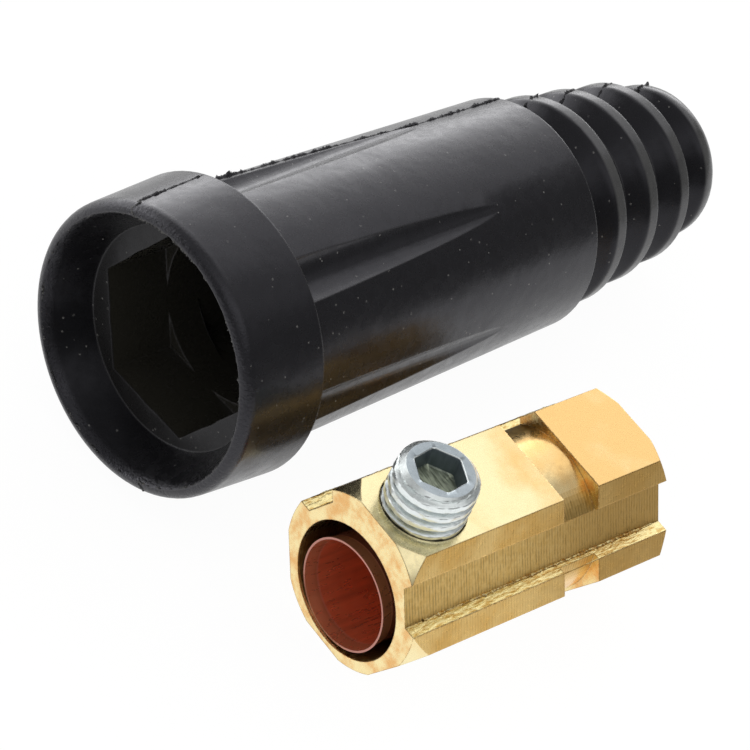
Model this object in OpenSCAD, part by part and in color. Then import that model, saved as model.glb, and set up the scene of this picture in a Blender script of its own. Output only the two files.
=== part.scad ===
// Welding cable connector, socket half, taken apart: rubber sleeve, hexagonal contact, set screw and copper ferrule.
// The sleeve and the contact lie side by side on the floor, with their lengths along X.

/* [Sleeve] */
// Outer radius of the collar at its rear edge
collar_r = 17.8; // [16:0.1:20]
// Length of the collar
collar_len = 11.5; // [8:0.5:16]
// How much the collar narrows towards the mouth, on the radius
collar_taper = 0.55; // [0:0.05:1.2]
// Rounding of the collar's rim
rim_round = 1.4; // [0.6:0.1:1.5]
// Radius of the round recess at the mouth
mouth_r = 15.6; // [14.6:0.1:16]
// Radius of the recess at its floor
recess_floor_r = 13.2; // [12.6:0.1:14.2]
// Depth of the recess
recess_depth = 5.6; // [3:0.1:8]
// Rounding of the inner edge of the mouth
mouth_edge = 0.35; // [0.2:0.05:0.6]
// Radius of the body where it leaves the collar
body_r = 15.5; // [14.6:0.1:16.4]
// Radius of the body at its rear end
body_end_r = 14.6; // [13.8:0.1:15.4]
// Length of the body between the collar and the rings
body_len = 50.5; // [42:0.5:60]

/* [Flutes] */
// Number of flutes round the body
flute_count = 6; // [3:1:8]
// Radius of the hollow of a flute
flute_hollow_r = 3.7; // [2.5:0.1:5.5]
// Depth of a flute at the collar
flute_depth = 1.4; // [0.6:0.1:2]
// Length over which a flute runs out
flute_len = 35.4; // [20:0.2:42]

/* [Rings] */
// Number of rings on the tail
ring_count = 4; // [2:1:5]
// Distance from one ring to the next
ring_pitch = 7.1; // [6:0.1:9]
// Radius of the first ring
first_ring_r = 13.3; // [12.6:0.1:14.4]
// How much smaller each further ring is, on the radius
ring_step = 0.8; // [0.2:0.1:1.1]
// Radius of the last ring, at the end of the tail
last_ring_r = 10; // [9.6:0.1:12]
// Depth of the gaps between the rings
ring_gap_depth = 2; // [1:0.1:2.3]
// Width of a ring's crest
ring_crest = 2.7; // [1.8:0.1:3.4]
// Rounding of a crest's front edge
ring_round = 1.1; // [0.4:0.1:1.4]
// Length of the slope in front of a crest
ring_slope = 1.4; // [0.5:0.1:2.2]
// Rounding at the very end of the tail
tail_round = 2.4; // [1:0.1:2.8]
// Radius of the hole for the cable
cable_hole_r = 7; // [5.5:0.1:7.2]

/* [Contact] */
// Width of the hexagonal bar across its flats
contact_af = 20.5; // [19.6:0.1:22]
// Length of the contact
contact_len = 39.1; // [36:0.1:46]
// How far the turned ends stand outside the flats
end_margin = 0.42; // [0.2:0.02:1]
// Angle of the turned cable end against the axis
cable_end_angle = 28; // [20:1:45]
// Angle of the turned pin end against the axis
pin_end_angle = 48; // [30:1:60]
// Distance of the turned groove from the pin end
groove_from_end = 10.9; // [9:0.1:12.5]
// Width of the turned groove
groove_w = 5.4; // [4:0.1:6]
// Depth of the turned groove below the flats
groove_depth = 0.4; // [0.2:0.05:1.2]
// Width of a side channel at its floor
channel_floor_w = 4.7; // [2.5:0.1:5.5]
// Depth of a side channel
channel_depth = 1.3; // [0.5:0.05:1.5]
// Angle of a side channel's walls against its floor
channel_wall_angle = 60; // [40:1:80]

/* [Cable bore] */
// Diameter of the bore for the cable
cable_bore_d = 16.4; // [14.6:0.1:16.8]
// Wall left between this bore and the flat underneath
bore_floor_wall = 0.65; // [0.45:0.05:1.4]
// Free depth of this bore behind the ferrule
bore_spare = 2.4; // [0.6:0.1:4]

/* [Pin socket] */
// Diameter of the pin that the socket takes
pin_d = 13; // [11:0.1:13.4]
// Clearance round the pin, on the radius
pin_clearance = 0.05; // [0.02:0.01:0.1]
// Thickness of the web between the two bores
web = 1.5; // [1:0.1:3]
// Width of the keyway
keyway_w = 4.4; // [3:0.1:5]
// How far the keyway and the locking track reach beyond the bore
keyway_depth = 1.5; // [0.8:0.1:1.7]
// Length of the lip in front of the locking track
lip_len = 5; // [4:0.1:6.5]
// Length of the locking track
track_len = 6.5; // [4.5:0.1:8]
// Angle of the locking face across the socket
cam_angle = 5; // [0:0.5:8]
// Bevel at the mouth of the socket
socket_bevel = 0.7; // [0.3:0.1:1.2]

/* [Set screw] */
// Diameter over the crests of the screw's thread
screw_d = 9.9; // [8.8:0.1:10.4]
// Pitch of the thread
thread_pitch = 1.5; // [1:0.05:1.75]
// Length of the screw
screw_len = 10; // [8:0.5:10.4]
// How far the screw stands out of the flat
screw_out = 6; // [4.8:0.1:6.8]
// Bevel at both ends of the screw
screw_bevel = 1.05; // [0.6:0.05:1.2]
// Distance of the screw from the cable end
screw_from_end = 6.5; // [6.3:0.1:9]
// Clearance round the screw, on the radius
screw_clearance = 0.08; // [0.03:0.01:0.1]
// Width of the hexagonal key hole across its flats
key_af = 5.1; // [4:0.1:5.6]
// Depth of the key hole
key_depth = 2.7; // [2:0.1:5]

/* [Ferrule] */
// Wall of the ferrule
ferrule_wall = 0.25; // [0.2:0.05:0.6]
// Length of the ferrule
ferrule_len = 17.2; // [12:0.1:18]
// How much smaller the ferrule is than its bore, on the radius
ferrule_play = 1.5; // [1:0.1:2]
// How far round its bore the ferrule has rolled, from the bottom
ferrule_roll = 16; // [0:1:30]
// How much the ferrule's mouth is flared, on the radius
ferrule_flare = 0.3; // [0:0.05:0.5]
// Length of the flare
ferrule_flare_len = 1.6; // [0.8:0.1:3]
// How far the ferrule sits inside the contact's face
ferrule_inset = 0.4; // [0:0.1:1]

/* [Fit in the sleeve] */
// Clearance between the contact's flats and the sleeve
pocket_clearance = 0.1; // [0.05:0.01:0.3]
// Clearance of the sleeve's rib in the contact's groove
rib_clearance = 0.3; // [0.1:0.05:0.5]
// How far the fitted contact stands out of the recess's floor
contact_proud = 2.2; // [0:0.1:3]
// Free length behind the fitted contact
pocket_spare = 1; // [0.5:0.1:3]
// Length over which the throat narrows to the hole for the cable
throat_len = 10; // [6:0.5:14]
// How much narrower than the flats the throat starts
throat_step = 1.1; // [0.5:0.1:2]

/* [Layout] */
// How far the contact's cable end lies behind the sleeve's mouth
contact_shift = 7.1; // [0:0.1:20]
// Free space between the sleeve's collar and the contact
lay_gap = 3.1; // [2:0.1:10]
// Angle between the contact and the sleeve, seen from above
contact_turn = 4.2; // [0:0.1:8]

/* [Hidden] */
// Which piece is drawn: "all" or the name of one

// Smoothness of round surfaces
round_fn = 72;
// Number of narrow faces round the hollow of a flute
hollow_sides = 40;
// Number of steps in a quarter rounding
round_steps = 6;
// Number of steps in the rounding of a ring's front edge, and where it starts
ring_steps = 3;
ring_arc_from = -60;
// How far a cutting shape runs past what it cuts
over = 1;
// Small gap between pieces that only rest on each other
rest_gap = 0.03;
// Small bevel on the sharp outer edges of the sleeve
sleeve_edge = 0.3;

// Contact
contact_flat = contact_af / 2;
contact_corner_r = contact_af / sqrt(3);
face_r = contact_flat + end_margin;
big_r = contact_corner_r + over;
cable_end_run = (big_r - face_r) / tan(cable_end_angle);
pin_end_run = (big_r - face_r) / tan(pin_end_angle);
groove_r = contact_flat - groove_depth;
groove_end = contact_len - groove_from_end;
groove_start = groove_end - groove_w;
channel_spread = 60;
cable_bore_r = cable_bore_d / 2;
bore_drop = contact_flat - cable_bore_r - bore_floor_wall;
cable_bore_depth = ferrule_inset + ferrule_len + bore_spare;

// Pin socket
socket_r = pin_d / 2 + pin_clearance;
socket_depth = contact_len - cable_bore_depth - web;
track_r = socket_r + keyway_depth;

// Set screw: the thread's depth and the rows of its section, root and crest, as shares of the pitch
thread_share = 0.6;
row_shares = [0, 0.25, 0.58, 0.72];
thread_rows = len(row_shares);
thread_steps = 36;
screw_r = screw_d / 2;
screw_root_r = screw_r - thread_share * thread_pitch;
tapped_r = screw_r + screw_clearance;
screw_turn = 6;
screw_base = contact_flat + screw_out - screw_len;

// Ferrule
ferrule_rim_r = cable_bore_r - ferrule_play;
ferrule_r = ferrule_rim_r - ferrule_flare;
ferrule_away = ferrule_play - rest_gap;
ferrule_side = ferrule_away * sin(ferrule_roll);
ferrule_drop = bore_drop + ferrule_away * cos(ferrule_roll);

// Sleeve
body_end = collar_len + body_len;
tail_end = body_end + ring_count * ring_pitch + tail_round / 2;
pocket_r = (contact_flat + pocket_clearance) / cos(30);
contact_seat = recess_depth - contact_proud;
rib_start = contact_seat + groove_from_end + rib_clearance;
rib_end = contact_seat + groove_from_end + groove_w - rib_clearance;
rib_r = groove_r + 2 * rib_clearance;
pocket_end = contact_seat + contact_len + pocket_spare;
throat_r = contact_flat - throat_step;
sleeve_turn = -1;

// The sleeve rests on the rear edge of its collar and on the end of its body
sleeve_tilt = atan((collar_r - body_end_r) / body_len);
mouth_height = collar_r * cos(sleeve_tilt) + collar_len * sin(sleeve_tilt);

// Where the pieces lie, counted from the middle of the sleeve's mouth
contact_side = collar_r + contact_corner_r + lay_gap;
front_r = collar_r - collar_taper - rim_round;
low_x = rim_round * cos(sleeve_tilt) - front_r * sin(sleeve_tilt) - rim_round;
tail_r = last_ring_r - tail_round;
high_x = (tail_end - tail_round) * cos(sleeve_tilt) + tail_r * sin(sleeve_tilt) + tail_round;
far_corner = contact_len - (contact_corner_r - face_r) / tan(pin_end_angle);
low_y = -contact_side - far_corner * sin(contact_turn) - contact_corner_r * cos(contact_turn);
mid_x = (low_x + high_x) / 2;
mid_y = (low_y + collar_r) / 2;

// Colours of the pieces
rubber_colour = [0.07, 0.07, 0.08];
brass_colour = [0.86, 0.68, 0.32];
zinc_colour = [0.72, 0.76, 0.78];
copper_colour = [0.62, 0.24, 0.14];

// Puts a piece built along +X from the sleeve's mouth in its place on the floor
module on_sleeve_axis() {
    translate([-mid_x, -mid_y, mouth_height])
        rotate([0, sleeve_tilt, 0])
            rotate([sleeve_turn, 0, 0])
                children();
}

// Puts a piece built along +X from the contact's cable end in its place on the floor
module on_contact_axis() {
    translate([contact_shift - mid_x, -contact_side - mid_y, contact_flat])
        rotate([0, 0, -contact_turn])
            children();
}

// Turns a half section, given as radius and distance, about the X axis
module turned(points, smooth = round_fn) {
    rotate([90, 0, 90])
        rotate_extrude($fn = smooth)
            polygon(points);
}

// Points of a rounding about a centre
function arc_points(centre_r, centre_s, radius, from, to, steps) =
    [for (i = [0:steps])
        let (a = from + (to - from) * i / steps)
            [centre_r + radius * cos(a), centre_s + radius * sin(a)]];

// Radius of one ring, counted from 0
function ring_r(i) =
    i < ring_count - 1 ? first_ring_r - i * ring_step : last_ring_r;

// Outline of one ring up to the top of its crest: the gap in front of it, its slope and its rounded front edge
function ring_front(i) =
    let (start = body_end + i * ring_pitch)
    let (crest_start = start + ring_pitch - ring_crest)
    let (gap = ring_r(i) - ring_gap_depth)
        concat([[gap + sleeve_edge, start], [gap, start + sleeve_edge], [gap, crest_start - ring_slope]],
               arc_points(ring_r(i) - ring_round, crest_start + ring_round, ring_round, ring_arc_from, 0, ring_steps));

// Outline of one ring's rear edge
function ring_rear(i) =
    let (stop = body_end + (i + 1) * ring_pitch)
        [[ring_r(i), stop - sleeve_edge], [ring_r(i) - sleeve_edge, stop]];

// The outside of the sleeve in one turned shape: collar with its rounded rim, tapering body and ribbed tail
module sleeve_outside() {
    turned(concat([[0, 0]],
                  arc_points(front_r, rim_round, rim_round, -90, 0, round_steps),
                  [[collar_r, collar_len - sleeve_edge], [collar_r - sleeve_edge, collar_len], [body_r, collar_len],
                   [body_end_r, body_end - sleeve_edge], [body_end_r - sleeve_edge, body_end]],
                  [for (i = [0:ring_count - 2]) each concat(ring_front(i), ring_rear(i))],
                  ring_front(ring_count - 1),
                  arc_points(tail_r, tail_end - tail_round, tail_round, 0, 90, round_steps),
                  [[0, tail_end]]));
}

// The hollows of the flutes: many-sided bars that slope out of the body, cut a little into the collar's rear face
module flutes() {
    run_out_r = body_r + (body_end_r - body_r) * flute_len / body_len;
    away = body_r - flute_depth + flute_hollow_r;
    slope = atan((run_out_r + flute_hollow_r - away) / flute_len);
    lean = 2 * flute_hollow_r * sin(slope);
    outline = [for (i = [0:hollow_sides - 1])
        let (a = (i + 0.5) * 360 / hollow_sides)
            [flute_hollow_r * cos(a), flute_hollow_r * sin(a)]];
    for (i = [0:flute_count - 1])
        rotate([i * 360 / flute_count, 0, 0])
            translate([collar_len - lean, away, 0])
                rotate([0, 0, slope])
                    rotate([90, 0, 90])
                        linear_extrude(height = flute_len + lean + over)
                            polygon(outline);
}

// The round hollows of the sleeve: recess, bore inside the rib, throat and cable hole
module round_hollow() {
    turned([[0, -over], [mouth_r + mouth_edge + over, -over], [mouth_r, mouth_edge],
            [recess_floor_r, recess_depth], [rib_r, recess_depth], [rib_r, pocket_end], [throat_r, pocket_end],
            [cable_hole_r, pocket_end + throat_len], [cable_hole_r, tail_end + over], [0, tail_end + over]]);
}

// A hexagonal hole of the contact's size, with flats above and below
module hexagonal_hole(from, to) {
    translate([from, 0, 0])
        rotate([0, 90, 0])
            rotate([0, 0, 90])
                cylinder(r = pocket_r, h = to - from, $fn = 6);
}

// The rubber sleeve: one moulded piece
module insulating_sleeve() {
    color(rubber_colour)
        on_sleeve_axis()
            difference() {
                rotate([180 / flute_count, 0, 0])
                    sleeve_outside();
                flutes();
                round_hollow();
                hexagonal_hole(recess_depth - over, rib_start);
                hexagonal_hole(rib_end, pocket_end);
            }
}

// The contact's hexagonal bar with its turned ends and groove
module contact_bar() {
    intersection() {
        rotate([0, 90, 0])
            rotate([0, 0, 90])
                cylinder(r = contact_corner_r, h = contact_len, $fn = 6);
        turned([[0, 0], [face_r, 0], [big_r, cable_end_run], [big_r, groove_start], [groove_r, groove_start],
                [groove_r, groove_end], [big_r, groove_end], [big_r, contact_len - pin_end_run],
                [face_r, contact_len], [0, contact_len]]);
    }
}

// The two milled channels along the upper side faces
module channels() {
    low = contact_flat - channel_depth;
    high = contact_flat + over;
    floor_half = channel_floor_w / 2;
    top_half = floor_half + (high - low) / tan(channel_wall_angle);
    for (side = [-1, 1])
        rotate([side * channel_spread, 0, 0])
            translate([-over, 0, 0])
                rotate([90, 0, 90])
                    linear_extrude(height = contact_len + 2 * over)
                        polygon([[-floor_half, low], [floor_half, low], [top_half, high], [-top_half, high]]);
}

// The socket for the pin: bore, keyway and the locking track behind its lip
module pin_socket() {
    track_start = contact_len - lip_len - track_len;
    socket_end = contact_len - socket_depth;
    turned([[0, socket_end], [socket_r, socket_end], [socket_r, contact_len - socket_bevel],
            [socket_r + socket_bevel + over, contact_len + over], [0, contact_len + over]]);
    translate([track_start, -keyway_w / 2, 0])
        cube([contact_len - track_start + over, keyway_w, track_r]);
    intersection() {
        turned([[0, track_start], [track_r, track_start], [track_r, contact_len - lip_len], [0, contact_len - lip_len]]);
        translate([contact_len - lip_len - track_r * tan(cam_angle), 0, 0])
            rotate([0, -cam_angle, 0])
                translate([-2 * track_len, -2 * track_r, -2 * track_r])
                    cube([2 * track_len, 4 * track_r, 4 * track_r]);
    }
}

// The hexagonal contact: one machined piece
module contact_body() {
    color(brass_colour)
        on_contact_axis()
            difference() {
                contact_bar();
                channels();
                translate([-over, 0, -bore_drop])
                    rotate([0, 90, 0])
                        cylinder(r = cable_bore_r, h = cable_bore_depth + over, $fn = round_fn);
                translate([screw_from_end, 0, 0])
                    cylinder(r = tapped_r, h = contact_flat + over, $fn = round_fn);
                pin_socket();
            }
}

// Radius of the thread at one row of its section: root, root, crest, crest
function thread_r(row) =
    (row % thread_rows) < thread_rows / 2 ? screw_root_r : screw_r;

// Height of one row of the thread's section within a turn
function row_height(row) =
    thread_pitch * (floor(row / thread_rows) + row_shares[row % thread_rows]);

// A bar with a screw thread along +Z, longer than the screw at both ends
module threaded_bar() {
    turns = ceil(screw_len / thread_pitch) + 3;
    rows = turns * thread_rows + 1;
    base = -1.5 * thread_pitch;
    // Rows past the last one hold the ends of the last turn
    point = [for (row = [0:rows - 1 + thread_rows]) for (i = [0:thread_steps - 1]) [row, i]];
    points = [for (p = point)
        let (a = 360 * p[1] / thread_steps)
        let (lift = thread_pitch * p[1] / thread_steps)
            [thread_r(p[0]) * cos(a), thread_r(p[0]) * sin(a), base + row_height(p[0]) + lift]];
    count = len(points);
    centre_low = [0, 0, base - thread_pitch];
    centre_high = [0, 0, base + row_height(rows - 1 + thread_rows) + thread_pitch];
    walls = [for (row = [0:rows - 2]) for (i = [0:thread_steps - 1])
        let (a = vertex(row, i))
        let (b = vertex(row, i + 1))
        let (c = vertex(row + 1, i + 1))
        let (d = vertex(row + 1, i))
            each [[a, c, b], [a, d, c]]];
    lows = concat([for (i = [0:thread_steps]) vertex(0, i)],
                  [for (row = [thread_rows - 1:-1:1]) vertex(row, 0)]);
    highs = concat([for (i = [0:thread_steps]) vertex(rows - 1, i)],
                   [for (row = [thread_rows - 1:-1:1]) vertex(rows - 1 + row, 0)]);
    low_fan = [for (k = [0:len(lows) - 1]) [count, lows[k], lows[(k + 1) % len(lows)]]];
    high_fan = [for (k = [0:len(highs) - 1]) [count + 1, highs[(k + 1) % len(highs)], highs[k]]];
    polyhedron(points = concat(points, [centre_low, centre_high]),
               faces = concat(walls, low_fan, high_fan), convexity = 8);
}

// Number of a point on the thread, where a full turn leads to the row one turn higher
function vertex(row, i) =
    i < thread_steps ? row * thread_steps + i : (row + thread_rows) * thread_steps;

// The set screw with its bevelled ends and key hole
module set_screw() {
    color(zinc_colour)
        on_contact_axis()
            translate([screw_from_end, 0, screw_base])
                rotate([0, 0, screw_turn])
                    difference() {
                        intersection() {
                            threaded_bar();
                            rotate_extrude($fn = round_fn)
                                polygon([[0, 0], [screw_r - screw_bevel, 0], [screw_r + over, screw_bevel + over],
                                         [screw_r + over, screw_len - screw_bevel - over],
                                         [screw_r - screw_bevel, screw_len], [0, screw_len]]);
                        }
                        translate([0, 0, screw_len - key_depth])
                            cylinder(r = key_af / sqrt(3), h = key_depth + over, $fn = 6);
                    }
}

// The thin copper ferrule that lies loose in the cable bore
module copper_ferrule() {
    color(copper_colour)
        on_contact_axis()
            translate([ferrule_inset, ferrule_side, -ferrule_drop])
                turned([[ferrule_rim_r - ferrule_wall, 0], [ferrule_rim_r, 0],
                        [ferrule_r, ferrule_flare_len], [ferrule_r, ferrule_len],
                        [ferrule_r - ferrule_wall, ferrule_len],
                        [ferrule_r - ferrule_wall, ferrule_flare_len]]);
}

insulating_sleeve();
contact_body();
set_screw();
copper_ferrule();
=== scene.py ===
import math
import random

import bmesh
import bpy
from mathutils import Euler, Matrix, Vector, noise


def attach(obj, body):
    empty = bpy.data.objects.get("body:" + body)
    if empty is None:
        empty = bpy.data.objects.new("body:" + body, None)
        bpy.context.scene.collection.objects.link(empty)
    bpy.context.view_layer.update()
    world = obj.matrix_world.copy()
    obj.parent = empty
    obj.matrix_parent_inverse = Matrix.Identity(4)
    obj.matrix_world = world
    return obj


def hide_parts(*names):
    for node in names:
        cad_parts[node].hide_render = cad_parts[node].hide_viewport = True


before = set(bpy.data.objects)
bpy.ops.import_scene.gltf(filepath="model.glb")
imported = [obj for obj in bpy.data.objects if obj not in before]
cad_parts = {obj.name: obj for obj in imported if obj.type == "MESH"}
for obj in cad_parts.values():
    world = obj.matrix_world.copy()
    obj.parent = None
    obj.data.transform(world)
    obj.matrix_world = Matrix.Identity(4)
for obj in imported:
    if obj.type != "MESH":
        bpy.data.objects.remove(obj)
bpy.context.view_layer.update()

MM = 0.001

# Places of the two assemblies in the row frame, in millimetres and degrees
SLEEVE_MOUTH = (-45.4485, 14.7632, 18.4916)
SLEEVE_TURN = (-1.0, 3.6258, 0.0)
CONTACT_END = (-38.3485, -17.9725, 10.25)
CONTACT_TURN = (0.0, 0.0, -4.2)

# Camera that took the photograph
CAMERA_PLACE = (-0.263566, -0.141564, 0.277328)
CAMERA_RIGHT = (0.7038, -0.6405, 0.3074)
CAMERA_UP = (0.3208, 0.6726, 0.6669)
CAMERA_FORWARD = (0.6339, 0.3708, -0.6788)
CAMERA_LENS = 162.3

# Sizes of the sleeve that its flash follows, in millimetres
COLLAR_LEN = 11.5
COLLAR_R = 17.8
COLLAR_FRONT_R = 15.85
RIM_ROUND = 1.4
MOUTH_R = 15.9
BODY_R = 15.5
BODY_END = 62.0
BODY_END_R = 14.6
RING_PITCH = 7.1
RING_RADII = (13.3, 12.5, 11.7, 10.0)
RING_GAP_DEPTH = 2.0
RING_CREST = 2.7
RING_SLOPE = 1.4
RING_ROUND = 1.1
FLUTE_LEN = 35.4

# Sizes of the contact, in millimetres
CONTACT_LEN = 39.1
FLAT = 10.25
HALF_FLAT = 5.92
GROOVE_START = 22.8
GROOVE_END = 28.2
CHANNEL_FLOOR = 8.95
CHANNEL_FLOOR_HALF = 2.35
CHANNEL_TOP_HALF = 3.1

# Sizes of the ferrule, in millimetres
FERRULE_R = 6.400
FERRULE_INSET = 0.4
FLARE_LEN = 1.6
FERRULE_AXIS = (0.405, -2.813)

# Sizes of the set screw, in millimetres
SCREW_FROM_END = 6.5
SCREW_BASE = 6.25
SCREW_LEN = 10.0
SCREW_R = 4.95
SCREW_PITCH = 1.5
SCREW_TURN = 6.0
THREAD_DEPTH = 0.70
SCREW_BEVEL = 1.0
KEY_AF = 5.35
KEY_DEPTH = 2.7

# Angles in degrees above which an edge of a CAD piece is drawn sharp, across and along the piece
SHARP = {"insulating_sleeve": (38, 12), "contact_body": (22, 22), "copper_ferrule": (30, 30)}
# Distance in metres within which a CAD piece's split vertices count as one
WELD = 1e-6
# Level of the even light that reaches matt surfaces
EVEN_LIGHT = 0.72


# Small helpers for materials

def new_material(name):
    """A material with its node tree and its main shader."""
    material = bpy.data.materials.new(name)
    material.use_nodes = True
    tree = material.node_tree
    return material, tree, tree.nodes["Principled BSDF"]


def feed(tree, socket, value):
    """Puts a number, a colour or another node's output into a socket."""
    if isinstance(value, bpy.types.NodeSocket):
        tree.links.new(value, socket)
    elif isinstance(value, tuple) and len(value) == 3 and len(socket.default_value) == 4:
        socket.default_value = (*value, 1)
    else:
        socket.default_value = value


def local_coordinates(tree, place, turn):
    """Coordinates in millimetres along a piece's own axes."""
    source = tree.nodes.new("ShaderNodeTexCoord")
    mapping = tree.nodes.new("ShaderNodeMapping")
    mapping.vector_type = "TEXTURE"
    mapping.inputs["Location"].default_value = [c * MM for c in place]
    mapping.inputs["Rotation"].default_value = [math.radians(a) for a in turn]
    mapping.inputs["Scale"].default_value = (MM, MM, MM)
    tree.links.new(source.outputs["Object"], mapping.inputs["Vector"])
    return mapping.outputs["Vector"]


def scaled(tree, vector, scale):
    """The same coordinates, stretched by a number for each axis."""
    made = tree.nodes.new("ShaderNodeVectorMath")
    made.operation = "MULTIPLY"
    feed(tree, made.inputs[0], vector)
    feed(tree, made.inputs[1], scale)
    return made.outputs[0]


def noise_of(tree, vector, scale, detail=3.0, roughness=0.55):
    made = tree.nodes.new("ShaderNodeTexNoise")
    feed(tree, made.inputs["Vector"], vector)
    feed(tree, made.inputs["Scale"], scale)
    feed(tree, made.inputs["Detail"], detail)
    feed(tree, made.inputs["Roughness"], roughness)
    return made.outputs["Fac"]


def calculate(tree, operation, a, b=0.0, c=0.0):
    made = tree.nodes.new("ShaderNodeMath")
    made.operation = operation
    feed(tree, made.inputs[0], a)
    feed(tree, made.inputs[1], b)
    feed(tree, made.inputs[2], c)
    return made.outputs[0]


def step_between(tree, value, start, stop, low=0.0, high=1.0):
    """A smooth step from low to high while the value goes from start to stop."""
    made = tree.nodes.new("ShaderNodeMapRange")
    made.interpolation_type = "SMOOTHSTEP"
    feed(tree, made.inputs["Value"], value)
    feed(tree, made.inputs["From Min"], start)
    feed(tree, made.inputs["From Max"], stop)
    feed(tree, made.inputs["To Min"], low)
    feed(tree, made.inputs["To Max"], high)
    return made.outputs["Result"]


def blend_colours(tree, factor, first, second):
    made = tree.nodes.new("ShaderNodeMix")
    made.data_type = "RGBA"
    feed(tree, made.inputs["Factor"], factor)
    feed(tree, made.inputs["A"], first)
    feed(tree, made.inputs["B"], second)
    return made.outputs["Result"]


def parts_of(tree, vector):
    made = tree.nodes.new("ShaderNodeSeparateXYZ")
    feed(tree, made.inputs[0], vector)
    return made.outputs[0], made.outputs[1], made.outputs[2]


def bumped(tree, height, depth_mm, normal=None):
    made = tree.nodes.new("ShaderNodeBump")
    made.inputs["Distance"].default_value = depth_mm * MM
    feed(tree, made.inputs["Height"], height)
    if normal is not None:
        feed(tree, made.inputs["Normal"], normal)
    return made.outputs["Normal"]


def bevelled(tree, radius_mm):
    """A normal that is rounded near edges, and a number that rises from 0 to 1 there."""
    made = tree.nodes.new("ShaderNodeBevel")
    made.samples = 6
    made.inputs["Radius"].default_value = radius_mm * MM
    geometry = tree.nodes.new("ShaderNodeNewGeometry")
    dot = tree.nodes.new("ShaderNodeVectorMath")
    dot.operation = "DOT_PRODUCT"
    tree.links.new(made.outputs["Normal"], dot.inputs[0])
    tree.links.new(geometry.outputs["Normal"], dot.inputs[1])
    edge = step_between(tree, dot.outputs["Value"], 0.995, 0.90)
    return made.outputs["Normal"], edge


def facing(tree, direction, start, stop):
    """A number that is 1 where the surface faces a direction."""
    geometry = tree.nodes.new("ShaderNodeNewGeometry")
    dot = tree.nodes.new("ShaderNodeVectorMath")
    dot.operation = "DOT_PRODUCT"
    dot.inputs[1].default_value = direction
    tree.links.new(geometry.outputs["True Normal"], dot.inputs[0])
    return step_between(tree, dot.outputs["Value"], start, stop)


# Materials

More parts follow.
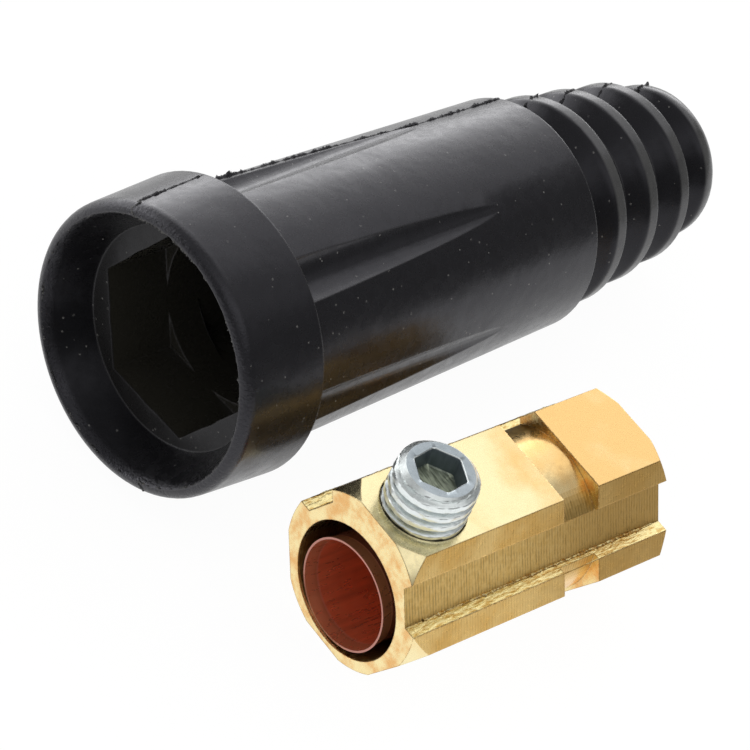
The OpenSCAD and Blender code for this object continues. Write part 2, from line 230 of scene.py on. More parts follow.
def rubber_material():
    """Satin black moulded rubber with fine grain, faint unevenness and specks of dust."""
    material, tree, shader = new_material("black_rubber")
    place = local_coordinates(tree, SLEEVE_MOUTH, SLEEVE_TURN)
    cloud = noise_of(tree, place, 0.35, 4)
    colour = blend_colours(tree, cloud, (0.0045, 0.0043, 0.0046), (0.0085, 0.0083, 0.0098))
    cells = tree.nodes.new("ShaderNodeTexVoronoi")
    cells.inputs["Scale"].default_value = 0.85
    feed(tree, cells.inputs["Vector"], place)
    speck = calculate(tree, "LESS_THAN", cells.outputs["Distance"], 0.115)
    pick, _, size = parts_of(tree, cells.outputs["Color"])
    chosen = calculate(tree, "GREATER_THAN", pick, 0.58)
    speck = calculate(tree, "MULTIPLY", speck, chosen)
    fluff = noise_of(tree, place, 9.0, 2)
    speck = calculate(tree, "MULTIPLY", speck, step_between(tree, fluff, 0.42, 0.58))
    colour = blend_colours(tree, calculate(tree, "MULTIPLY", speck, 0.55), colour, (0.34, 0.33, 0.31))
    along, side, up = parts_of(tree, place)
    off_axis = calculate(tree, "SQRT", calculate(tree, "MULTIPLY_ADD", side, side, calculate(tree, "MULTIPLY", up, up)))
    # Painted light: the pockets deep inside get a lighter colour; the mouth's recess is marked for painted shade in the
    # gloss
    inside = calculate(tree, "MULTIPLY", step_between(tree, off_axis, 13.3, 12.9), step_between(tree, along, 60.0, 58.0))
    mouth = calculate(tree, "MULTIPLY", step_between(tree, off_axis, 16.1, 15.7), step_between(tree, along, 0.6, 1.6))
    mouth = calculate(tree, "MULTIPLY", mouth, step_between(tree, along, 10.0, 9.0))
    colour = blend_colours(tree, calculate(tree, "MULTIPLY", inside, step_between(tree, along, 5.5, 5.9)),
                           colour, (0.030, 0.028, 0.022))
    soft, edge = bevelled(tree, 0.3)
    # Painted highlight: edges are painted paler, less so in the pockets
    painted_edge_highlight = calculate(tree, "MULTIPLY", edge, calculate(tree, "MULTIPLY_ADD", inside, -0.45, 0.6))
    colour = blend_colours(tree, painted_edge_highlight, colour, (0.075, 0.073, 0.072))
    tail = step_between(tree, along, BODY_END + 0.1, BODY_END + 0.2)
    in_pitch = calculate(tree, "MODULO", calculate(tree, "SUBTRACT", along, BODY_END), RING_PITCH)
    crest = step_between(tree, in_pitch, RING_PITCH - RING_CREST + 0.7, RING_PITCH - RING_CREST + 1.2)
    crest = calculate(tree, "MULTIPLY", crest, step_between(tree, along, 90.6, 90.2))
    # Painted highlight: the crests of the tail's rings are painted lighter, in patches
    painted_crest_highlight = calculate(tree, "MULTIPLY", calculate(tree, "MULTIPLY", crest, tail), step_between(tree, cloud, 0.2, 0.6, 0.7, 1.0))
    colour = blend_colours(tree, painted_crest_highlight, colour, (0.062, 0.062, 0.060))
    gap = calculate(tree, "MULTIPLY", tail, calculate(tree, "SUBTRACT", 1.0, crest))
    feed(tree, shader.inputs["Base Color"], colour)
    dull = noise_of(tree, place, 0.8, 3)
    feed(tree, shader.inputs["Roughness"], step_between(tree, dull, 0.25, 0.75, 0.22, 0.31))
    # Painted shade: the specular tint darkens in the mouth's recess and in the gaps between the rings; its faint blue
    # is a painted reflection of bluish light
    shaded = calculate(tree, "MULTIPLY_ADD", gap, 0.55, mouth)
    shader.inputs["Specular Tint"].default_value = (0.90, 0.89, 1.0, 1)
    feed(tree, shader.inputs["Specular Tint"], blend_colours(tree, shaded, (0.90, 0.89, 1.0), (0.34, 0.34, 0.38)))
    shader.inputs["IOR"].default_value = 1.5
    uneven = bumped(tree, noise_of(tree, place, 0.22, 2), 0.08, soft)
    stretched = scaled(tree, place, (0.25, 1.0, 1.0))
    drawn = bumped(tree, noise_of(tree, stretched, 2.2, 3), 0.004, uneven)
    grain = bumped(tree, noise_of(tree, place, 7.0, 4, 0.7), 0.006, drawn)
    lip = step_between(tree, along, 1.8, 0.2)
    crumbs = calculate(tree, "MULTIPLY", noise_of(tree, place, 2.6, 3, 0.7), lip)
    feed(tree, shader.inputs["Normal"], bumped(tree, crumbs, 0.10, grain))
    return material


def torn_rubber_material():
    """Torn and chafed rubber, greyer than the moulded skin."""
    material, tree, shader = new_material("torn_rubber")
    place = local_coordinates(tree, SLEEVE_MOUTH, SLEEVE_TURN)
    patches = step_between(tree, noise_of(tree, place, 1.9, 3, 0.7), 0.45, 0.65)
    feed(tree, shader.inputs["Base Color"], blend_colours(tree, patches, (0.008, 0.008, 0.009), (0.11, 0.105, 0.10)))
    shader.inputs["Roughness"].default_value = 0.5
    return material


def brass_material():
    """Bare machined brass: drawn flats, milled channels, turned ends, and painted shade on edges and in hollows."""
    material, tree, shader = new_material("brass")
    place = local_coordinates(tree, CONTACT_END, CONTACT_TURN)
    along, side, up = parts_of(tree, place)
    cloud = noise_of(tree, place, 0.16, 4)
    mottle = noise_of(tree, place, 1.6, 4, 0.65)
    top = facing(tree, (0, 0, 1), 0.80, 0.95)
    end = facing(tree, (-1, 0.07, 0), 0.80, 0.95)
    lower = facing(tree, (-0.06, -0.864, 0.5), 0.80, 0.97)
    further = facing(tree, (0.06, 0.864, 0.5), 0.80, 0.97)
    sides = calculate(tree, "MAXIMUM", lower, further)
    # Height over the slanting faces, to tell the milled channel's floor from the lands beside it
    slant = calculate(tree, "MULTIPLY_ADD", calculate(tree, "ABSOLUTE", side), 0.866, calculate(tree, "MULTIPLY", up, 0.5))
    milled = calculate(tree, "MULTIPLY", sides, step_between(tree, slant, FLAT - 0.3, FLAT - 0.5, 0.30, 1.0))
    pale = (0.99, 0.86, 0.50)
    orange = (0.92, 0.60, 0.24)
    rear = step_between(tree, along, 12, 32)
    # Pale to orange by random tone, and more orange towards the rear as painted shade where the light falls off
    warm = step_between(tree, calculate(tree, "MULTIPLY_ADD", cloud, 0.9, calculate(tree, "MULTIPLY", rear, 0.42)),
                        0.42, 0.86)
    colour = blend_colours(tree, warm, pale, orange)
    blotch = calculate(tree, "MULTIPLY_ADD", noise_of(tree, place, 0.45, 3), 0.75, calculate(tree, "MULTIPLY", mottle, 0.25))
    end_colour = blend_colours(tree, step_between(tree, blotch, 0.36, 0.62), (0.86, 0.50, 0.19), (1.0, 0.83, 0.44))
    colour = blend_colours(tree, end, colour, end_colour)
    olive = blend_colours(tree, step_between(tree, mottle, 0.3, 0.7), (0.76, 0.49, 0.15), (0.94, 0.67, 0.26))
    land = blend_colours(tree, step_between(tree, cloud, 0.35, 0.65), (0.82, 0.48, 0.13), (1.0, 0.70, 0.28))
    colour = blend_colours(tree, sides, colour, land)
    colour = blend_colours(tree, milled, colour, olive)
    # Painted shade: the side faces are painted darker towards the rear
    wear_and_painted_shade = calculate(tree, "MULTIPLY", sides, calculate(tree, "MULTIPLY", rear, 0.75))
    colour = blend_colours(tree, wear_and_painted_shade, colour, (0.42, 0.25, 0.07))
    # The channel's lower wall is torn, with bright streaks on it as painted highlights
    ledge = calculate(tree, "MULTIPLY", top, step_between(tree, up, 6.0, 5.0))
    torn = noise_of(tree, scaled(tree, place, (0.45, 1.6, 1.6)), 1.3, 3, 0.6)
    ledge_colour = blend_colours(tree, step_between(tree, torn, 0.36, 0.52), (0.74, 0.49, 0.16), (1.0, 0.84, 0.42))
    colour = blend_colours(tree, ledge, colour, ledge_colour)
    # Lines left by the cutter, square to the contact's length
    wobble = noise_of(tree, scaled(tree, place, (0.9, 0.12, 0.12)), 1.0, 2)
    phase = calculate(tree, "MULTIPLY_ADD", wobble, 5.0, calculate(tree, "MULTIPLY", along, 2 * math.pi / 0.42))
    wave = calculate(tree, "SINE", phase)
    uneven_cut = noise_of(tree, scaled(tree, place, (1.6, 0.5, 0.5)), 1.6, 3)
    cut = calculate(tree, "MULTIPLY", step_between(tree, wave, -0.6, 0.9), step_between(tree, uneven_cut, 0.3, 0.65, 0.1, 1.0))
    cut = calculate(tree, "MULTIPLY", cut, milled)
    colour = blend_colours(tree, calculate(tree, "MULTIPLY", cut, 0.52), colour, (0.32, 0.20, 0.06))
    # Painted shade: cavities are painted dark brown
    hollow = tree.nodes.new("ShaderNodeAmbientOcclusion")
    hollow.samples = 6
    hollow.inputs["Distance"].default_value = 2.2 * MM
    shaded_hollows = step_between(tree, hollow.outputs["AO"], 0.52, 0.15)
    colour = blend_colours(tree, calculate(tree, "MULTIPLY", shaded_hollows, 0.70), colour, (0.42, 0.24, 0.07))
    soft, edge = bevelled(tree, 0.2)
    # Painted shade: edges are painted dark brown, broken up by noise
    painted_edge_shade = calculate(tree, "MULTIPLY", edge, step_between(tree, noise_of(tree, place, 2.4, 3), 0.32, 0.55))
    colour = blend_colours(tree, calculate(tree, "MULTIPLY", painted_edge_shade, 0.85), colour, (0.38, 0.19, 0.05))
    spots = step_between(tree, noise_of(tree, place, 3.4, 3, 0.6), 0.70, 0.76)
    colour = blend_colours(tree, calculate(tree, "MULTIPLY", spots, 0.5), colour, (0.42, 0.26, 0.08))
    feed(tree, shader.inputs["Base Color"], colour)
    shader.inputs["Metallic"].default_value = 1
    dull = step_between(tree, mottle, 0.3, 0.7, 0.20, 0.32)
    dull = calculate(tree, "MULTIPLY_ADD", milled, 0.14, dull)
    dull = calculate(tree, "MULTIPLY_ADD", shaded_hollows, 0.15, dull)
    feed(tree, shader.inputs["Roughness"], dull)
    drawn = noise_of(tree, scaled(tree, place, (0.08, 2.4, 2.4)), 2.0, 4, 0.6)
    shape = bumped(tree, calculate(tree, "MULTIPLY", drawn, top), 0.0025, soft)
    shape = bumped(tree, noise_of(tree, place, 0.4, 2), 0.02, shape)
    shape = bumped(tree, mottle, 0.003, shape)
    shape = bumped(tree, calculate(tree, "MULTIPLY", torn, ledge), 0.10, shape)
    feed(tree, shader.inputs["Normal"], bumped(tree, cut, 0.018, shape))
    return material


def zinc_material():
    """Zinc-plated steel, bluish silver with a grainy skin, and painted shade on its top land and in its hollows."""
    material, tree, shader = new_material("zinc")
    place = local_coordinates(tree, CONTACT_END, CONTACT_TURN)
    cloud = noise_of(tree, place, 0.9, 3)
    fine = noise_of(tree, place, 5.0, 4, 0.7)
    colour = blend_colours(tree, cloud, (0.78, 0.84, 0.82), (0.93, 0.97, 0.98))
    # Painted shade: the flat top land is painted a darker copy of the zinc
    painted_top_shade = facing(tree, (0, 0, 1), 0.90, 0.99)
    colour = blend_colours(tree, painted_top_shade, colour, blend_colours(tree, cloud, (0.28, 0.32, 0.34), (0.46, 0.51, 0.55)))
    colour = blend_colours(tree, step_between(tree, fine, 0.62, 0.74, 0, 0.35), colour, (0.34, 0.38, 0.36))
    # Painted shade: hollows such as the thread's roots are painted dark grey
    hollow = tree.nodes.new("ShaderNodeAmbientOcclusion")
    hollow.samples = 6
    hollow.inputs["Distance"].default_value = 0.9 * MM
    shaded_hollows = step_between(tree, hollow.outputs["AO"], 0.60, 0.22)
    colour = blend_colours(tree, calculate(tree, "MULTIPLY", shaded_hollows, 0.8), colour, (0.15, 0.18, 0.18))
    feed(tree, shader.inputs["Base Color"], colour)
    shader.inputs["Metallic"].default_value = 1
    feed(tree, shader.inputs["Roughness"], step_between(tree, fine, 0.3, 0.7, 0.26, 0.38))
    shape = bumped(tree, cloud, 0.03)
    feed(tree, shader.inputs["Normal"], bumped(tree, fine, 0.004, shape))
    return material


def key_material():
    """Painted shade inside the set screw's key hole: a darker copy of the steel, painted lighter on the floor that
    faces up, with broaching marks across its floor.
    """
    material, tree, shader = new_material("key_hole_painted_shade")
    place = local_coordinates(tree, CONTACT_END, CONTACT_TURN)
    fine = noise_of(tree, scaled(tree, place, (3.5, 0.6, 0.6)), 1.0, 3)
    # Painted light: the floor that faces up is painted lighter
    lit_floor_share = facing(tree, (0, 0, 1), 0.5, 0.8)
    colour = blend_colours(tree, fine, (0.10, 0.13, 0.15), (0.22, 0.26, 0.29))
    lined = blend_colours(tree, step_between(tree, fine, 0.35, 0.65), (0.22, 0.25, 0.18), (0.62, 0.68, 0.52))
    feed(tree, shader.inputs["Base Color"], blend_colours(tree, lit_floor_share, colour, lined))
    shader.inputs["Metallic"].default_value = 0.7
    shader.inputs["Roughness"].default_value = 0.45
    feed(tree, shader.inputs["Normal"], bumped(tree, fine, 0.015))
    return material


def copper_material():
    """Thin copper, reddish, with drawing lines along it."""
    material, tree, shader = new_material("copper")
    place = local_coordinates(tree, CONTACT_END, CONTACT_TURN)
    cloud = noise_of(tree, place, 0.35, 3)
    colour = blend_colours(tree, cloud, (0.90, 0.22, 0.09), (1.0, 0.36, 0.18))
    along, side, up = parts_of(tree, place)
    streaks = noise_of(tree, scaled(tree, place, (0.05, 1.0, 1.0)), 0.9, 3)
    colour = blend_colours(tree, step_between(tree, streaks, 0.35, 0.70, 0, 0.6), colour, (0.55, 0.15, 0.07))
    # The flared mouth is duller, with a painted highlight as a bright line where the flare ends
    flare = step_between(tree, along, FERRULE_INSET + FLARE_LEN + 0.2, FERRULE_INSET + FLARE_LEN - 0.2)
    colour = blend_colours(tree, flare, colour, (0.62, 0.25, 0.13))
    painted_crease_highlight = step_between(tree, calculate(tree, "ABSOLUTE", calculate(tree, "SUBTRACT", along, FERRULE_INSET + FLARE_LEN)),
                          0.18, 0.06)
    colour = blend_colours(tree, calculate(tree, "MULTIPLY", painted_crease_highlight, 0.35), colour, (0.95, 0.50, 0.36))
    rim = facing(tree, (-1, 0.07, 0), 0.85, 0.97)
    colour = blend_colours(tree, rim, colour, (0.52, 0.24, 0.19))
    # Painted shade: the ferrule's outer face, in the dark gap of the bore, is painted brown
    aside = calculate(tree, "SUBTRACT", side, FERRULE_AXIS[0])
    above = calculate(tree, "SUBTRACT", up, FERRULE_AXIS[1])
    reach = calculate(tree, "SQRT", calculate(tree, "MULTIPLY_ADD", aside, aside, calculate(tree, "MULTIPLY", above, above)))
    painted_gap_shade = step_between(tree, reach, FERRULE_R - 0.10, FERRULE_R - 0.04)
    painted_gap_shade = calculate(tree, "MULTIPLY", painted_gap_shade, step_between(tree, along, FERRULE_INSET + FLARE_LEN, FERRULE_INSET + FLARE_LEN + 0.1))
    colour = blend_colours(tree, painted_gap_shade, colour, (0.30, 0.09, 0.05))
    feed(tree, shader.inputs["Base Color"], colour)
    shader.inputs["Metallic"].default_value = 0.72
    fine = noise_of(tree, scaled(tree, place, (0.2, 1.0, 1.0)), 2.2, 3)
    feed(tree, shader.inputs["Roughness"], step_between(tree, fine, 0.3, 0.7, 0.26, 0.38))
    feed(tree, shader.inputs["Normal"], bumped(tree, fine, 0.004))
    return material


# Carried-over pieces

def smoothing(across, along):
    """A modifier's node group that joins split vertices and smooths all but the sharp edges."""
    group = bpy.data.node_groups.new(f"smooth_below_{across}_{along}", "GeometryNodeTree")
    group.interface.new_socket("Geometry", in_out="INPUT", socket_type="NodeSocketGeometry")
    group.interface.new_socket("Geometry", in_out="OUTPUT", socket_type="NodeSocketGeometry")
    start = group.nodes.new("NodeGroupInput")
    weld = group.nodes.new("GeometryNodeMergeByDistance")
    weld.inputs["Distance"].default_value = WELD
    faces = group.nodes.new("GeometryNodeSetShadeSmooth")
    edge_angle = group.nodes.new("GeometryNodeInputMeshEdgeAngle")
    ends = group.nodes.new("GeometryNodeInputMeshEdgeVertices")
    run = group.nodes.new("ShaderNodeVectorMath")
    run.operation = "SUBTRACT"
    group.links.new(ends.outputs["Position 1"], run.inputs[0])
    group.links.new(ends.outputs["Position 2"], run.inputs[1])
    unit = group.nodes.new("ShaderNodeVectorMath")
    unit.operation = "NORMALIZE"
    group.links.new(run.outputs[0], unit.inputs[0])
    length_share = group.nodes.new("ShaderNodeSeparateXYZ")
    group.links.new(unit.outputs[0], length_share.inputs[0])
    lengthwise = calculate(group, "GREATER_THAN", calculate(group, "ABSOLUTE", length_share.outputs[0]), 0.93)
    limit = calculate(group, "MULTIPLY_ADD", lengthwise, math.radians(along - across), math.radians(across))
    sharp = group.nodes.new("FunctionNodeCompare")
    sharp.operation = "GREATER_THAN"
    group.links.new(edge_angle.outputs["Unsigned Angle"], sharp.inputs["A"])
    group.links.new(limit, sharp.inputs["B"])
    edges = group.nodes.new("GeometryNodeSetShadeSmooth")
    edges.domain = "EDGE"
    edges.inputs["Shade Smooth"].default_value = False
    stop = group.nodes.new("NodeGroupOutput")
    group.links.new(start.outputs[0], weld.inputs["Geometry"])
    group.links.new(weld.outputs["Geometry"], faces.inputs["Geometry"])
    group.links.new(faces.outputs["Geometry"], edges.inputs["Geometry"])
    group.links.new(sharp.outputs["Result"], edges.inputs["Selection"])
    group.links.new(edges.outputs["Geometry"], stop.inputs[0])
    return group


def dress(node, material):
    """Gives a CAD node its material and smooth shading."""
    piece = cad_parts[node]
    piece.data.materials.clear()
    piece.data.materials.append(material)
    smooth = piece.modifiers.new("smooth", "NODES")
    smooth.node_group = smoothing(*SHARP[node])
    weighted = piece.modifiers.new("weighted", "WEIGHTED_NORMAL")
    weighted.keep_sharp = True
    return piece


# Pieces that are made here

def place_matrix(place, turn):
    """From millimetres along a piece's own axes to the row frame."""
    turned = Euler([math.radians(a) for a in turn]).to_matrix().to_4x4()
    moved = Matrix.Translation([c * MM for c in place])
    return moved @ turned @ Matrix.Scale(MM, 4)


def add_piece(name, mesh_data, matrix, material, body, smooth=True):
    """An object from vertices and faces in millimetres, riding on a body."""
    points, faces = mesh_data
    mesh = bpy.data.meshes.new(name)
    mesh.from_pydata([matrix @ Vector(p) for p in points], [], faces)
    mesh.validate()
    if smooth:
        mesh.polygons.foreach_set("use_smooth", [True] * len(mesh.polygons))
    mesh.materials.append(material)
    piece = bpy.data.objects.new(name, mesh)
    bpy.context.collection.objects.link(piece)
    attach(piece, body)
    return piece


def ragged_ribbon(path, seed, width, sunk=0.12):
    """A crumbly ridge along a path of (point, outward direction, height), with gaps where it is torn off."""
    dice = random.Random(seed)
    points = []
    faces = []
    count = len(path)
    for i, (spot, out, height) in enumerate(path):
        ahead = path[min(i + 1, count - 1)][0] - path[max(i - 1, 0)][0]
        side = ahead.cross(out).normalized()
        torn = 0.5 + 0.5 * noise.noise(Vector((i * 0.13, seed, 0.3)))
        tall = height * max(0.06, torn * 1.5 - 0.25) * dice.uniform(0.55, 1.2)
        lean = side * dice.uniform(-0.5, 0.5) * tall
        half = width * dice.uniform(0.35, 0.65)
        spread = half * min(1.0, 0.35 + tall / max(height, 0.01))
        foot = spot - out * sunk
        crown = spot + out * (tall - 0.02) + lean
        points += [foot - side * half, spot - side * spread + out * tall * 0.35,
                   crown, spot + side * spread + out * tall * 0.35, foot + side * half]
        if i:
            a = 5 * (i - 1)
            b = 5 * i
            for k in range(4):
                faces.append((a + k, a + k + 1, b + k + 1, b + k))
    return points, faces


def joined(meshes):
    """Several sets of vertices and faces as one."""
    points = []
    faces = []
    for some_points, some_faces in meshes:
        shift = len(points)
        points += some_points
        faces += [tuple(i + shift for i in face) for face in some_faces]
    return points, faces


def around(angle):
    """Direction away from the sleeve's axis, at an angle counted from +Y over the top."""
    return Vector((0, math.cos(math.radians(angle)), math.sin(math.radians(angle))))


def sleeve_path(places, angle_at, height_at, step=0.14):
    """Path on the sleeve's outside through (distance, radius) places."""
    path = []
    for (x0, r0), (x1, r1) in zip(places, places[1:]):
        length = math.hypot(x1 - x0, r1 - r0)
        pieces = max(1, round(length / step))
        slope = Vector((-(r1 - r0), x1 - x0)) / length
        for i in range(pieces):
            share = i / pieces
            x = x0 + (x1 - x0) * share
            r = r0 + (r1 - r0) * share
            outward = around(angle_at(x))
            spot = Vector((x, 0, 0)) + outward * r
            out = Vector((slope[0], 0, 0)) + outward * slope[1]
            path.append((spot, out, height_at(x)))
    return path


def ring_places(number):
    """Outline of one ring of the tail as (distance, radius) places."""
    start = BODY_END + number * RING_PITCH
    r = RING_RADII[number]
    crest = start + RING_PITCH - RING_CREST
    return [(crest - RING_SLOPE, r - RING_GAP_DEPTH), (crest + 0.15, r - RING_ROUND / 2),
            (crest + RING_ROUND, r), (start + RING_PITCH - 0.2, r)]


def parting_flash(material):
    """The torn flash where the two halves of the mould met, on both sides of the sleeve."""
    def upper_angle(x):
        if x < COLLAR_LEN:
            return 61.0
        if x < 26:
            return 43.0 + (x - COLLAR_LEN) * 0.35
        if x < 47:
            return 48.0 + (x - 26) * 0.42
        return 57.0

    def upper_height(x):
        if x < COLLAR_LEN:
            return 0.34
        if x > BODY_END:
            return 0.62
        return 0.40 + 0.55 * max(0.0, 1 - (x - COLLAR_LEN) / 15)

    def lower_angle(x):
        return 241.0

    def lower_height(x):
        return 0.22

    collar = [(RIM_ROUND, COLLAR_R - 0.55), (COLLAR_LEN - 0.2, COLLAR_R)]
    body = [(COLLAR_LEN - 0.1, BODY_R), (BODY_END - 0.2, BODY_END_R)]
    runs = [collar, body] + [ring_places(i) for i in range(len(RING_RADII))]
    meshes = []
    for number, run in enumerate(runs):
        meshes.append(ragged_ribbon(sleeve_path(run, upper_angle, upper_height), 3 + number, 0.34))
    for number, run in enumerate([collar] + runs[2:]):
        meshes.append(ragged_ribbon(sleeve_path(run, lower_angle, lower_height), 23 + number, 0.26))
    matrix = place_matrix(SLEEVE_MOUTH, SLEEVE_TURN)
    return add_piece("parting_flash", joined(meshes), matrix, material, "base", smooth=False)


def mouth_flash(material):
    """Crumbs along the inner edge of the mouth, and the torn line across the rim where the mould parted."""
    edge = []
    for i in range(760):
        angle = i * 360 / 760
        outward = around(angle)
        spot = Vector((0.25, 0, 0)) + outward * MOUTH_R
        edge.append((spot, Vector((-0.75, 0, 0)) - outward * 0.66, 0.40))
    meshes = [ragged_ribbon(edge, 41, 0.30)]
    for number, angle in enumerate((61.5, 243.0)):
        rim = [(0.15, MOUTH_R - 0.1), (0.0, COLLAR_FRONT_R + 0.15)]
        rim += [(RIM_ROUND - RIM_ROUND * math.cos(math.radians(a)), COLLAR_FRONT_R + RIM_ROUND * math.sin(math.radians(a)))
                for a in (20, 40, 60, 80)]
        path = []
        for i, (x, r) in enumerate(rim):
            for k in range(4):
                nx, nr = rim[min(i + 1, len(rim) - 1)]
                share = k / 4
                px = x + (nx - x) * share
                pr = r + (nr - r) * share
                outward = around(angle + 0.9 * math.sin(i * 1.7 + k * 0.6))
                away = Vector((px - RIM_ROUND, 0, 0)) + outward * (pr - COLLAR_FRONT_R)
                path.append((Vector((px, 0, 0)) + outward * pr, away.normalized(), 0.20))
        meshes.append(ragged_ribbon(path, 51 + number, 0.26))
    matrix = place_matrix(SLEEVE_MOUTH, SLEEVE_TURN)
    return add_piece("mouth_flash", joined(meshes), matrix, material, "base", smooth=False)


def channel_point(x, across, up, side=1):
    """A point of the upper side face's channel: across its width and up from the contact's axis."""
    angle = math.radians(60 * side)
    y = across * math.cos(angle) - up * math.sin(angle)
    z = across * math.sin(angle) + up * math.cos(angle)
    return Vector((x, y, z))


def channel_burrs(material):
    """Torn metal along the lower wall of the milled channels and along the groove's rear edge."""
    meshes = []
    for side in (1, -1):
        low = -CHANNEL_FLOOR_HALF * side
        wall = -CHANNEL_TOP_HALF * side
        out_foot = (channel_point(0, low + 0.4 * side, CHANNEL_FLOOR + 1, side) - channel_point(0, low, CHANNEL_FLOOR, side))
        out_foot.normalize()
        tall = 0.46 if side == 1 else 0.15
        foot = [(channel_point(2.6 + i * 0.16, low, CHANNEL_FLOOR, side), out_foot, tall) for i in range(222)]
        meshes.append(ragged_ribbon(foot, 61 + side, 0.42, 0.06))
        out_top = channel_point(0, wall, FLAT, side).normalized()
        top = [(channel_point(1.4 + i * 0.16, wall, FLAT, side), out_top, 0.13) for i in range(228)
               if not GROOVE_START < 1.4 + i * 0.16 < GROOVE_END]
        meshes.append(ragged_ribbon(top, 71 + side, 0.16, 0.06))
    rear = []
    for i in range(74):
        y = HALF_FLAT - i * 0.16
        rear.append((Vector((GROOVE_END, y, FLAT)), Vector((-0.6, 0, 0.5)), 0.20 if abs(y) < 5.9 else 0.0))
    meshes.append(ragged_ribbon(rear, 81, 0.16, 0.05))
    matrix = place_matrix(CONTACT_END, CONTACT_TURN)
    return add_piece("brass_burrs", joined(meshes), matrix, material, "base", smooth=False)


def thread_radius(angle, z):
    """Radius of the screw's thread, with rounded roots and crests, worn at its first turn."""
    phase = (z + 1.5 * SCREW_PITCH) / SCREW_PITCH - angle / (2 * math.pi)
    share = phase - math.floor(phase)
    # The crest is worn round over half of the pitch, and the root is a narrow hollow
    distance = abs(share - 0.655)
    distance = min(distance, 1 - distance)
    height = 1 - max(0.0, min(1.0, (distance - 0.20) / 0.25))
    height = height * height * (3 - 2 * height)
    here = Vector((math.cos(angle) * 5, math.sin(angle) * 5, z))
    wear_and_painted_shade = 0.10 * noise.noise(here * 0.9) + 0.05 * noise.noise(here * 2.7)
    top = SCREW_LEN - z
    if top < 2.2:
        torn = 0.5 + 0.5 * noise.noise(Vector((math.cos(angle) * 1.4, math.sin(angle) * 1.4, 7.7)))
        height *= 1 - 0.65 * torn * (1 - top / 2.2)
    radius = SCREW_R - THREAD_DEPTH * (1 - height) + min(0.0, wear_and_painted_shade - 0.03)
    limit = SCREW_R - SCREW_BEVEL + min(z, top) * 1.15
    rounded = min(radius, limit)
    return rounded


def hexagon_radius(angle, width):
    """Distance from the middle to a hexagon's side, with its corners eased."""
    part = math.radians(60)
    turn = angle % part - part / 2
    return min(width / 2 / math.cos(turn), width / math.sqrt(3) * 0.975)


def detailed_screw(material, key):
    """The set screw with a rounded thread, a torn first turn and a worn key hole."""
    around_count = 150
    side_rows = 116
    rows = []
    angles = [2 * math.pi * i / around_count for i in range(around_count)]
    rows.append([(0, 0, 0)] * around_count)
    for row in range(side_rows + 1):
        z = SCREW_LEN * row / side_rows
        rows.append([(thread_radius(a, z) * math.cos(a), thread_radius(a, z) * math.sin(a), z) for a in angles])
    land = SCREW_R - SCREW_BEVEL - 0.12
    rows.append([(land * math.cos(a), land * math.sin(a), SCREW_LEN + 0.0) for a in angles])

    def hexagon_row(width, z, dent=0.0):
        made = []
        for a in angles:
            bend = dent * noise.noise(Vector((math.cos(a) * 2, math.sin(a) * 2, z)))
            r = hexagon_radius(a, width) + bend
            made.append((r * math.cos(a), r * math.sin(a), z))
        return made

    rows.append(hexagon_row(KEY_AF + 0.34, SCREW_LEN - 0.02, 0.06))
    rows.append(hexagon_row(KEY_AF + 0.10, SCREW_LEN - 0.12, 0.05))
    rows.append(hexagon_row(KEY_AF, SCREW_LEN - 0.34, 0.03))
    rows.append(hexagon_row(KEY_AF - 0.02, SCREW_LEN - KEY_DEPTH + 0.15))
    rows.append(hexagon_row(KEY_AF - 0.30, SCREW_LEN - KEY_DEPTH))
    rows.append([(0.7 * math.cos(a), 0.7 * math.sin(a), SCREW_LEN - KEY_DEPTH - 0.25) for a in angles])
    rows.append([(0, 0, SCREW_LEN - KEY_DEPTH - 0.35)] * around_count)
    points = [Vector(p) for row in rows for p in row]
    faces = []
    for row in range(len(rows) - 1):
        for i in range(around_count):
            a = row * around_count + i
            b = row * around_count + (i + 1) % around_count
            faces.append((a, b, b + around_count, a + around_count))
    matrix = place_matrix(CONTACT_END, CONTACT_TURN)
    matrix = matrix @ Matrix.Translation((SCREW_FROM_END, 0, SCREW_BASE))
    matrix = matrix @ Matrix.Rotation(math.radians(SCREW_TURN), 4, "Z")
    piece = add_piece("detailed_screw", (points, faces), matrix, material, "screw")
    tidy = bmesh.new()
    tidy.from_mesh(piece.data)
    bmesh.ops.remove_doubles(tidy, verts=tidy.verts, dist=WELD)
    bmesh.ops.recalc_face_normals(tidy, faces=tidy.faces)
    for edge in tidy.edges:
        if len(edge.link_faces) == 2 and edge.calc_face_angle() > math.radians(38):
            edge.smooth = False
    tidy.to_mesh(piece.data)
    tidy.free()
    piece.data.materials.append(key)
    top = matrix @ Vector((0, 0, SCREW_LEN))
    for face in piece.data.polygons:
        away = (face.center - top) / MM
        if math.hypot(away[0], away[1]) < KEY_AF / 1.7 and -KEY_DEPTH - 0.5 < away[2] < -0.1:
            face.material_index = 1
    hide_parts("set_screw")
    return piece


# Studio

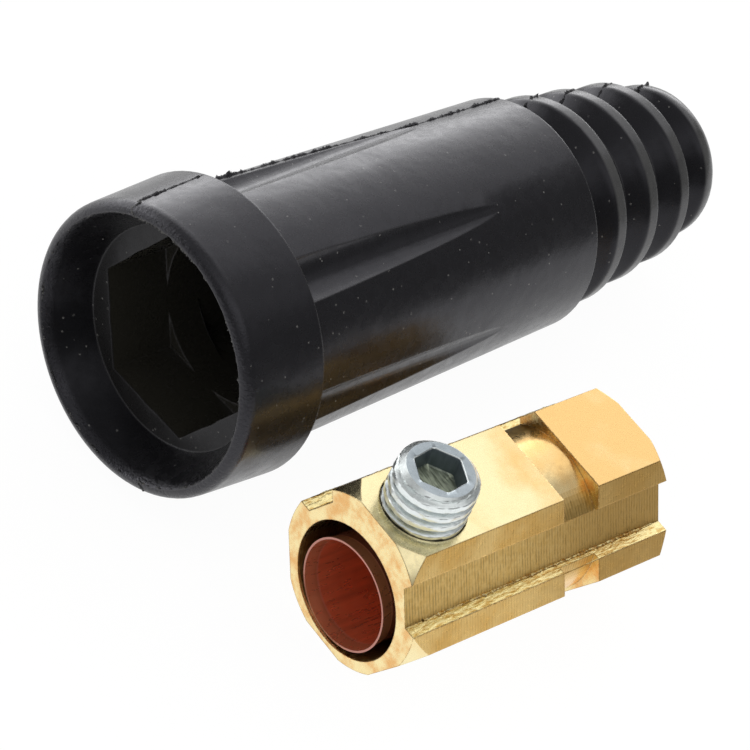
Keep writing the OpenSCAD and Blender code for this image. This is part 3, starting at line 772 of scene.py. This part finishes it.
def floor():
    bpy.ops.mesh.primitive_plane_add(size=1.6)
    plane = bpy.context.object
    plane.name = "floor"
    material, tree, shader = new_material("floor")
    shader.inputs["Base Color"].default_value = (0.92, 0.92, 0.91, 1)
    shader.inputs["Roughness"].default_value = 1
    shader.inputs["Specular IOR Level"].default_value = 0
    white = tree.nodes.new("ShaderNodeEmission")
    white.inputs["Color"].default_value = (1, 1, 1, 1)
    white.inputs["Strength"].default_value = 1.03
    path = tree.nodes.new("ShaderNodeLightPath")
    seen = calculate(tree, "MULTIPLY_ADD", path.outputs["Is Glossy Ray"], 0.85,
                     calculate(tree, "MULTIPLY", path.outputs["Is Camera Ray"], 0.93))
    mix = tree.nodes.new("ShaderNodeMixShader")
    output = tree.nodes["Material Output"]
    tree.links.new(seen, mix.inputs[0])
    tree.links.new(shader.outputs[0], mix.inputs[1])
    tree.links.new(white.outputs[0], mix.inputs[2])
    tree.links.new(mix.outputs[0], output.inputs["Surface"])
    material.cycles.emission_sampling = "NONE"
    plane.data.materials.append(material)


def softbox(name, place, aim, width, depth, power):
    data = bpy.data.lights.new(name, "AREA")
    data.shape = "RECTANGLE"
    data.size = width
    data.size_y = depth
    data.energy = power
    lamp = bpy.data.objects.new(name, data)
    bpy.context.collection.objects.link(lamp)
    lamp.location = place
    lamp.rotation_mode = "QUATERNION"
    lamp.rotation_quaternion = (Vector(aim) - Vector(place)).to_track_quat("-Z", "Y")
    return lamp


def lighting():
    """White studio: even light for matt surfaces; a bright sweep behind, a dim band and a bright ceiling in gloss."""
    world = bpy.data.worlds.new("studio")
    bpy.context.scene.world = world
    world.use_nodes = True
    world.cycles.sampling_method = "NONE"
    tree = world.node_tree
    background = tree.nodes["Background"]
    source = tree.nodes.new("ShaderNodeTexCoord")
    east, north, up = parts_of(tree, source.outputs["Generated"])
    toward = calculate(tree, "MULTIPLY_ADD", east, 0.30, calculate(tree, "MULTIPLY", north, 0.95))
    sweep = calculate(tree, "MULTIPLY", step_between(tree, toward, 0.25, 0.70), step_between(tree, up, 0.70, 0.20))
    horizon = calculate(tree, "MULTIPLY", step_between(tree, toward, 0.25, 0.70), step_between(tree, up, 0.26, 0.04))
    ceiling = step_between(tree, up, 0.52, 0.78)
    level = calculate(tree, "MULTIPLY_ADD", sweep, 2.3, 0.20)
    level = calculate(tree, "MULTIPLY_ADD", horizon, 2.0, level)
    camera_side = step_between(tree, toward, 0.0, -0.5, 0.28, 0.80)
    level = calculate(tree, "MULTIPLY_ADD", ceiling, camera_side, level)
    path = tree.nodes.new("ShaderNodeLightPath")
    extra = calculate(tree, "SUBTRACT", level, EVEN_LIGHT)
    gloss = calculate(tree, "MULTIPLY_ADD", path.outputs["Is Glossy Ray"], extra, EVEN_LIGHT)
    rest = calculate(tree, "SUBTRACT", 1.0, gloss)
    seen = calculate(tree, "MULTIPLY_ADD", path.outputs["Is Camera Ray"], rest, gloss)
    background.inputs["Color"].default_value = (1, 1, 1, 1)
    tree.links.new(seen, background.inputs["Strength"])
    softbox("back_box", (0.50, 0.33, 0.62), (0, 0, 0), 1.00, 0.42, 0.92)


def camera():
    data = bpy.data.cameras.new("camera")
    data.lens = CAMERA_LENS
    data.sensor_width = 36
    data.clip_start = 0.01
    data.clip_end = 100
    taker = bpy.data.objects.new("camera", data)
    bpy.context.collection.objects.link(taker)
    back = [-c for c in CAMERA_FORWARD]
    columns = Matrix((CAMERA_RIGHT, CAMERA_UP, back)).transposed().to_4x4()
    taker.matrix_world = Matrix.Translation(CAMERA_PLACE) @ columns
    bpy.context.scene.camera = taker


rubber = rubber_material()
brass = brass_material()
zinc = zinc_material()
copper = copper_material()
dress("insulating_sleeve", rubber)
dress("contact_body", brass)
dress("copper_ferrule", copper)
detailed_screw(zinc, key_material())
parting_flash(rubber)
mouth_flash(torn_rubber_material())
channel_burrs(brass)
floor()
lighting()
camera()
bpy.context.scene.view_settings.view_transform = "Standard"
